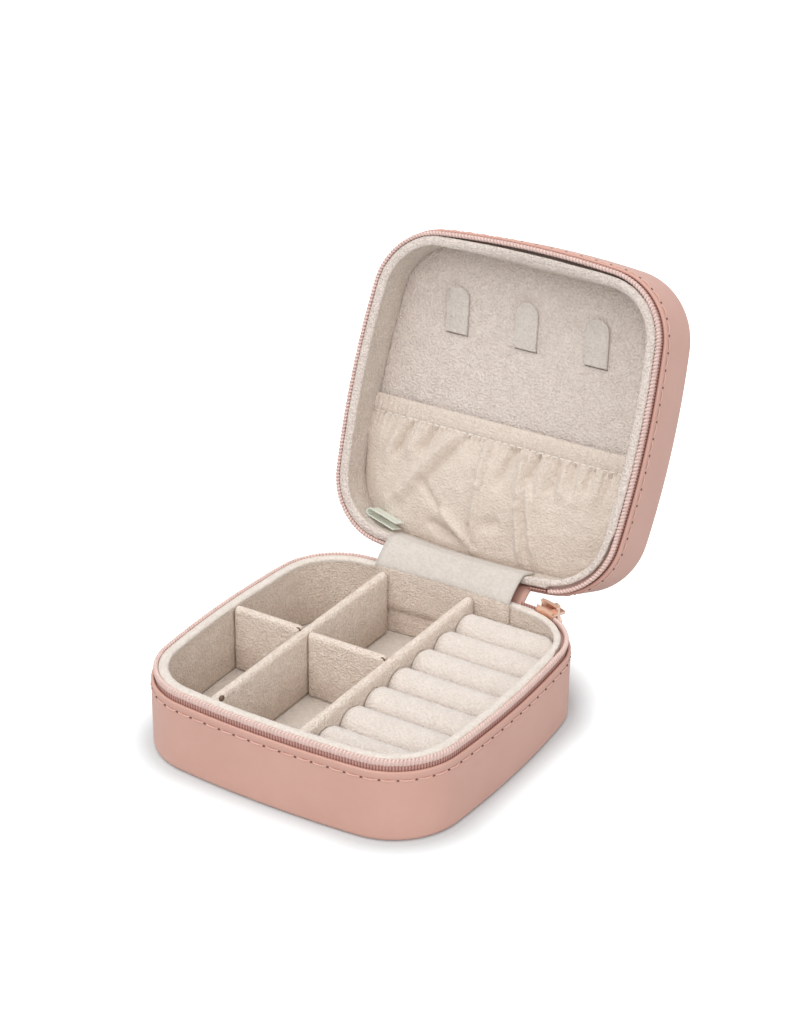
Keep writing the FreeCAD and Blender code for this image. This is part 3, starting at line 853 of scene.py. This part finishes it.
def lining(name, floor, seam, sag, place, material, rim_material, body, node):
    """Padded wall lining with a rolled rim that leans on the zip, drawn in by sag along the front side."""
    top = seam - rim_drop
    half = (lining_inner - lining_outer) / 2
    middle = (lining_inner + lining_outer) / 2
    crest = top - half
    profile = [(lining_inner - lining_foot, floor), (lining_outer, floor), (lining_outer, crest - rim_neck)]
    rim_first = len(profile)
    profile += arc_points((middle, crest), half, 180, 0, 10)
    rim_last = len(profile) - 1
    profile += [(lining_inner, crest - d) for d in RIM_STEPS]
    profile.append((lining_inner, (floor + crest) / 2))
    profile += [(lining_inner - inset, floor + rise) for inset, rise in LINING_FOOT_ROUND]

    def soften(s, o, z):
        """Bulge, overhang, waves and sag of a point of the profile."""
        x, y = outline(s)
        high = max(0.0, (z - floor) / (top - floor))
        near_rim = max(0.0, min(1.0, (z - crest + rim_run) / rim_run))
        if o < middle:
            o -= rim_bulge * near_rim * (1 - slider_way(s)) * (middle - o) / half
        else:
            o += rim_overhang * near_rim * (1 - strip_way(s)) * (o - middle) / half
        o += lining_wave * wave(x, y, z, scale=9.0, seed=3.1) * high * (1 - strip_way(s))
        if sag and y < 0:
            reach = max(0.0, 1 - ((x - sag_middle) / sag_half) ** 2)
            swell = wall_swell * math.sin(math.pi * min(high, 1.0)) if o > middle else 0.0
            o += reach * (sag * high + swell)
            z -= sag_drop * sag * reach * near_rim * (o - lining_outer) / half
        return o, z + rim_wave * wave(x, y, 0, scale=12.0, seed=7.7) * high ** 3

    points, faces, uvs = sweep(profile, stations(), True, soften)
    obj = piece(name, points, faces, place, material, body, "suede", uvs)
    obj.data.materials.append(rim_material)
    for face in obj.data.polygons:
        face.material_index = 1 if rim_first <= face.index % len(profile) <= rim_last else 0
    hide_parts(node)


def divider(name, low, high, node):
    """Suede-wrapped board with a round top and soft ends."""
    along_x = high[0] - low[0] > high[1] - low[1]
    axis = 0 if along_x else 1
    cross = 1 - axis
    half = (high[cross] - low[cross]) / 2
    middle = (high[cross] + low[cross]) / 2
    foot, top = low[2], high[2]
    side = [(half - divider_foot, foot), (half, foot + divider_foot_rise), (half, (foot + top) / 2)]
    section = [(-c, z) for c, z in side]
    section += arc_points((0.0, top - half), half, 180, 0, 9)
    section += side[::-1]
    length = high[axis] - low[axis]
    places = [length * i / divider_parts for i in range(1, divider_parts)]
    for p in DIVIDER_END_PLACES:
        places += [p, length - p]
    places.sort()
    points = []
    for p in places:
        end = min(p, length - p)
        shrink = 1 - divider_end_pinch * max(0.0, 1 - end / divider_end) ** 2
        along = low[axis] + p
        for c, z in section:
            across = middle + c * shrink + divider_wave * wave(p, z, 0, scale=8.0, seed=middle)
            near_top = max(0.0, (z - top + divider_end_reach) / divider_end_reach)
            level = z - (1 - shrink) * divider_end_drop * near_top
            points.append((along, across, level) if along_x else (across, along, level))
    faces = ring_faces(len(places), len(section))
    obj = piece(name, points, faces, at_base, SUEDE, "base", "suede")
    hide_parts(node)


def fold_slit_shade(name, low, high, place, size):
    """Dark spot of painted shade in the slit where the wrapping of a divider from low to high is folded in
    at its end.
    """
    middle = (high[0] + place[0], low[1] + place[1], high[2] + place[2])
    parts, sides = 6, 10
    points = []
    for i in range(1, parts):
        a = math.pi * i / parts
        for k in range(sides):
            b = math.tau * k / sides
            spot = (math.sin(a) * math.cos(b), math.sin(a) * math.sin(b), math.cos(a))
            points.append(tuple(m + c * d for m, c, d in zip(middle, spot, size)))
    piece(name, points, ring_faces(parts - 1, sides), at_base, SLIT_SHADE, "base", "suede")


def roll(name, low, high, node):
    """Foam roll in velvet, rounded at its ends; the right end follows the wall."""
    radius = (high[1] - low[1]) / 2
    y0, z0 = (low[1] + high[1]) / 2, (low[2] + high[2]) / 2
    points = []
    for i in range(roll_rings + 1):
        for k in range(roll_sides):
            a = math.tau * k / roll_sides
            y, z = radius * math.cos(a), radius * math.sin(a)
            reach = reach_at(y0 + y, lining_inner)
            x = low[0] + i / roll_rings * (reach - low[0])
            end = max(0.0, 1 - min(x - low[0], reach - x) / roll_end)
            shrink = roll_end_size + (1 - roll_end_size) * math.sqrt(max(0.0, 1 - end ** 2))
            puff = 1 + roll_puff * wave(x, y0, a * 3, scale=6.0, seed=y0)
            points.append((x, y0 + y * shrink * puff, z0 + z * shrink * puff))
    faces = ring_faces(roll_rings + 1, roll_sides)
    obj = piece(name, points, faces, at_base, VELVET, "base", "velvet_roll")
    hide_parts(node)


def build_lining():
    """Linings, dividers, rolls and boards inside."""
    lining("base_lining", base_floor - lining_tuck, base_seam, 0.0, at_base, SUEDE, SMOOTH, "base",
           "base_lining_wall")
    lining("lid_lining", lid_floor, lid_seam, lid_sag, at_lid, LID_SUEDE, PANEL, "lid", "lid_lining_wall")
    for node in ("divider_long_left", "divider_long_right", "divider_cross_left", "divider_cross_right"):
        low, high = millimetre_box(node)
        divider("soft_" + node, low, high, node)
        if "cross" in node:
            fold_slit_shade("slit_shade_" + node, low, high, *CROSS_SLIT_SHADE)
        elif "left" in node:
            fold_slit_shade("slit_shade_" + node, low, high, *LONG_SLIT_SHADE)
    for i in range(1, roll_count + 1):
        node = "ring_roll_%d" % i
        roll("velvet_roll_%d" % i, *millimetre_box(node), node)
    for node in ("base_frame", "lid_frame"):
        dress(node, BOARD)
    for node in ("ring_roll_base", "lid_top_padding"):
        dress(node, FOAM)
    dress("base_floor_pad", SMOOTH)
    dress("lid_inner_panel", PANEL)


# Hinge


def bend_curve(p0, p1, p2, p3, count):
    """Smooth bend from p1 to p2 that runs on from the line p0-p1 into the line p2-p3."""
    chord = (p2 - p1).length
    first = p1 + (p1 - p0).normalized() * chord * bend_ease
    second = p2 + (p2 - p3).normalized() * chord * bend_ease
    found = []
    for i in range(1, count):
        t = i / count
        start = p1 * (1 - t) ** 3 + first * (3 * t * (1 - t) ** 2)
        found.append(start + second * (3 * t * t * (1 - t)) + p2 * t ** 3)
    return found


def hinge_sheet(name, right, offset, base_run, lid_run, thickness, waviness, materials, slot_name):
    """Sheet from the base's back wall round the hinge on to the lid's back wall.

    The runs are the lowest and highest level on each wall; the second material is for the base's run.
    """
    columns, straight, bend = 24, 5, 16
    points = []
    for i in range(columns + 1):
        x = -hinge_half_width + (hinge_half_width + right) * i / columns
        y = back_y(x, offset)
        ends = [Vector((x, y, z)) for z in base_run] + [Vector(swung((x, y, z))) for z in lid_run]
        line = [ends[0].lerp(ends[1], k / straight) for k in range(straight + 1)]
        line += bend_curve(*ends, bend)
        line += [ends[2].lerp(ends[3], k / straight) for k in range(straight + 1)]
        for k, p in enumerate(line):
            swell = math.sin(math.pi * k / (len(line) - 1))
            lift = 0.7 * waviness * swell * wave(x, k * 1.5, 0, scale=9.0, seed=5.5)
            points.append((p.x, p.y + lift, p.z + lift))
    rows = len(line)
    obj = piece(name, points, grid_faces(columns + 1, rows), at_base, materials[0], None, slot_name)
    thicken(obj, thickness)
    obj.data.materials.append(materials[1])
    for face in obj.data.polygons:
        face.material_index = 1 if face.index % (rows - 1) < straight else 0
    return obj


def build_hinge():
    """Suede strip inside and leather spine outside, drawn bent round the hinge to the open lid."""
    strip = hinge_sheet("hinge_strip", strip_right, strip_offset,
                        (base_seam - strip_base_run, base_seam - strip_bend_gap),
                        (base_seam + strip_bend_gap, base_seam + strip_lid_run),
                        strip_thickness, strip_waviness, (STRIP, SUEDE), "suede")
    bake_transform(strip)
    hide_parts("hinge_lining_strip")
    lid_edge = base_seam + zip_reveal
    spine = hinge_sheet("hinge_spine", hinge_half_width, spine_offset,
                        (base_wall - spine_tuck, base_wall), (lid_edge, lid_edge + spine_tuck),
                        spine_thickness, 0.0, (LEATHER, LEATHER), "leather")
    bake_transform(spine)
    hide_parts("hinge_spine_leather")


# Lid fittings


def hook(name, middle, body, node):
    """Suede tab with a round end and soft edges, leaning a little to the left."""
    round_y = hook_tip + hook_half
    half_way = (hook_root + round_y) / 2
    rim = [(middle + hook_half, hook_root), (middle + hook_half, half_way)]
    for degrees in range(0, 181, 12):
        a = math.radians(degrees)
        rim.append((middle + hook_half * math.cos(a), round_y - hook_half * math.sin(a)))
    rim += [(middle - hook_half, half_way), (middle - hook_half, hook_root)]
    centre = Vector((middle, (hook_root + hook_tip) / 2))
    layers = HOOK_EDGE + [(inset, hook_thickness - rise) for inset, rise in HOOK_EDGE[::-1]]
    points = []
    for inset, rise in layers:
        for x, y in rim:
            inward = (centre - Vector((x, y))).normalized() * inset
            lean = hook_lean * (hook_root - y) / (hook_root - hook_tip)
            points.append((x + inward.x - lean, y + inward.y, panel_z - hook_gap - rise))
    obj = piece(name, points, ring_faces(len(layers), len(rim)), swung, HOOK, body, "suede")
    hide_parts(node)


def fold_height(x, y, start, end, wide, high):
    """Height of one fold at a place: a soft ridge or valley along a line, fading at its ends."""
    ax, ay = start
    bx, by = end
    run = (bx - ax) ** 2 + (by - ay) ** 2
    t = ((x - ax) * (bx - ax) + (y - ay) * (by - ay)) / run
    held = min(1.0, max(0.0, t))
    away = math.hypot(x - ax - held * (bx - ax), y - ay - held * (by - ay))
    fade = min(1.0, max(0.0, 1 - (t - fold_fade_start) / fold_fade_run))
    return high * fade * math.exp(-(away / wide) ** 2)


def pocket_depth(x, y):
    """How far the pocket's cloth stands off the panel."""
    bottom = reach_at(x, pocket_offset)
    side = min(1.0, max(0.0, reach_at(y, pocket_offset) - abs(x)) / side_run)
    low = min(1.0, max(0.0, bottom - y) / foot_run)
    stitch = pocket_mouth + hem_height
    down = max(0.0, (y - stitch) / (bottom - stitch))
    wander = rib_wander * wave(x, 0, 0, scale=5.0, seed=1.3)
    rib = rib_height * math.sin(x * math.tau / rib_pitch + wander)
    if y < stitch:
        up = (stitch - y) / hem_height
        bulge = hem_roll * math.sqrt(max(0.0, 1 - (2 * up - 1) ** 2))
        return hem_stand + bulge + rib * (1 - up ** 4) + hem_wave * wave(x, y, 0, scale=14.0, seed=4.4)
    belly = belly_stand + belly_height * math.sin(math.pi * min(1.0, down ** belly_power)) ** belly_power
    gather = rib * gather_gain + gather_wave * wave(x, y * 0.2, 0, scale=1.6, seed=6.1)
    gather *= math.exp(-(y - stitch) / gather_run)
    folds = fold_gain * sum(fold_height(x, y, *fold) for fold in POCKET_FOLDS)
    rumple = wide_rumple * wave(x, y, 0, scale=7.0, seed=9.4)
    rumple += fine_rumple * wave(x, y, 0, scale=2.6, seed=3.9)
    pinch = min(1.0, (y - stitch) / pinch_run)
    depth = belly + gather + (folds + rumple) * pinch * (1 - side_flatness * (1 - side))
    return max(least_depth, depth) * (1 - edge_flatness * (1 - min(side, low)))


def pocket():
    """Gathered pocket as one sheet, with the hem's stitch line."""
    width = reach_at(pocket_mouth, pocket_offset)
    points = []
    for i in range(pocket_rows + 1):
        for k in range(pocket_columns + 1):
            x = width * (2 * k / pocket_columns - 1)
            y = pocket_mouth + (reach_at(x, pocket_offset) - pocket_mouth) * i / pocket_rows
            points.append((x, y, panel_z - pocket_depth(x, y)))
    faces = grid_faces(pocket_rows + 1, pocket_columns + 1)
    cloth = piece("gathered_pocket", points, faces, swung, POCKET, "lid", "pocket_cloth", sharp=80.0)
    thicken(cloth, pocket_thickness)
    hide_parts("pocket_fabric", "pocket_elastic")
    stitches = []
    y = pocket_mouth + hem_height - hem_thread_drop
    count = round(2 * width / hem_stitch_pitch)
    for i in range(count):
        path = []
        for k in range(hem_thread_steps + 1):
            t = k / hem_thread_steps
            x = -width + (i + hem_stitch_start + hem_stitch_share * t) * 2 * width / count
            lift = hem_thread_lift * math.sin(math.pi * t)
            path.append(Vector((x, y, panel_z - hem_thread - lift)))
        stitches.append(tube(path, hem_thread_radius, thread_sides))
    thread = piece("pocket_stitches", *joined(stitches), swung, WHITE_THREAD, "lid", "pocket_cloth")


def build_lid_fittings():
    """Necklace hooks, pocket and film loop."""
    for number, x in enumerate(HOOK_PLACES, 1):
        hook("suede_hook_%d" % number, x, "hook_%d" % number, "necklace_hook_%d" % number)
    pocket()
    dress("film_tab", FILM)


# Stage


def build_camera():
    """Camera as it stood for the photograph."""
    level = math.cos(camera_elevation)
    forward = Vector((-math.sin(camera_azimuth) * level, math.cos(camera_azimuth) * level,
                      -math.sin(camera_elevation)))
    right = Vector((math.cos(camera_azimuth), math.sin(camera_azimuth), 0))
    up = right.cross(forward)
    target = camera_aim + right * camera_shift_right + up * camera_shift_up
    place = (target - forward * camera_distance) * MM
    turned_right = right * math.cos(camera_roll) + up * math.sin(camera_roll)
    turned_up = up * math.cos(camera_roll) - right * math.sin(camera_roll)
    axes = Matrix((turned_right, turned_up, -forward)).transposed().to_4x4()
    camera = bpy.data.objects.new("camera", bpy.data.cameras.new("camera"))
    camera.data.lens = camera_lens
    camera.matrix_world = Matrix.Translation(place) @ axes
    bpy.context.collection.objects.link(camera)
    bpy.context.scene.camera = camera


def soft_light(name, azimuth, elevation, spread, strength):
    """Broad even light from a direction in degrees, azimuth from the front towards +X."""
    data = bpy.data.lights.new(name, "SUN")
    data.angle = math.radians(spread)
    data.energy = strength
    obj = bpy.data.objects.new(name, data)
    a, e = math.radians(azimuth), math.radians(elevation)
    towards = Vector((math.sin(a) * math.cos(e), -math.cos(a) * math.cos(e), math.sin(e)))
    obj.rotation_euler = towards.to_track_quat("Z", "Y").to_euler()
    bpy.context.collection.objects.link(obj)


def build_floor():
    """White sweep that keeps the box's shadow near it; a painted glow for the camera whitens shade further
    out.
    """
    size = floor_half * MM
    corners = [(-size, -size, 0), (size, -size, 0), (size, size, 0), (-size, size, 0)]
    mesh = bpy.data.meshes.new("floor")
    mesh.from_pydata(corners, [], [(0, 1, 2, 3)])
    floor = bpy.data.objects.new("floor", mesh)
    bpy.context.collection.objects.link(floor)
    n = Nodes("white_floor")
    place = n.millimetres()
    middle = corner_middle()
    beside = n.vector_maths("SUBTRACT", n.vector_maths("ABSOLUTE", place), (middle, middle, 0))
    beside = n.vector_maths("MAXIMUM", beside, (0, 0, 0))
    away = n.vector_maths("LENGTH", beside, output="Value")
    # Painted light: for camera rays the floor glows from 0 at glow_start to floor_glow at glow_end from the
    # box's outline, painting out the shadows further away
    glow = n.add("ShaderNodeMapRange", {"Value": away, "From Min": glow_start, "From Max": glow_end,
                                        "To Min": 0.0, "To Max": floor_glow}).outputs["Result"]
    seen = n.add("ShaderNodeLightPath").outputs["Is Camera Ray"]
    colour = n.ramp(n.noise(place, size=40.0), (0.68, 0.715, 0.725, 1), (0.7, 0.735, 0.745, 1))
    n.feed(n.shader, {"Base Color": colour, "Roughness": 1.0, "Specular IOR Level": 0.0,
                      "Emission Color": (1, 1, 1, 1), "Emission Strength": n.maths("MULTIPLY", seen, glow)})
    mesh.materials.append(n.material)


def build_lights():
    """Bright studio: three broad lights, even surroundings and a white backdrop."""
    world = bpy.data.worlds.new("studio")
    world.use_nodes = True
    bpy.context.scene.world = world
    tree = world.node_tree
    glow = tree.nodes["Background"]
    glow.inputs["Color"].default_value = (1, 1, 1, 1)
    path = tree.nodes.new("ShaderNodeLightPath")
    level = tree.nodes.new("ShaderNodeMapRange")
    level.inputs["To Min"].default_value = surroundings
    level.inputs["To Max"].default_value = 1.0
    seen = tree.nodes.new("ShaderNodeMath")
    seen.operation = "MAXIMUM"
    tree.links.new(path.outputs["Is Camera Ray"], seen.inputs[0])
    tree.links.new(path.outputs["Is Glossy Ray"], seen.inputs[1])
    tree.links.new(seen.outputs["Value"], level.inputs["Value"])
    tree.links.new(level.outputs["Result"], glow.inputs["Strength"])
    soft_light("overhead", azimuth=-75, elevation=76, spread=70, strength=1.7)
    soft_light("key", azimuth=8, elevation=36, spread=40, strength=0.97)
    soft_light("fill", azimuth=75, elevation=20, spread=50, strength=0.75)


build_shell()
build_zip()
build_lining()
build_hinge()
build_lid_fittings()
build_floor()
build_lights()
build_camera()
bpy.context.scene.view_settings.view_transform = "Standard"
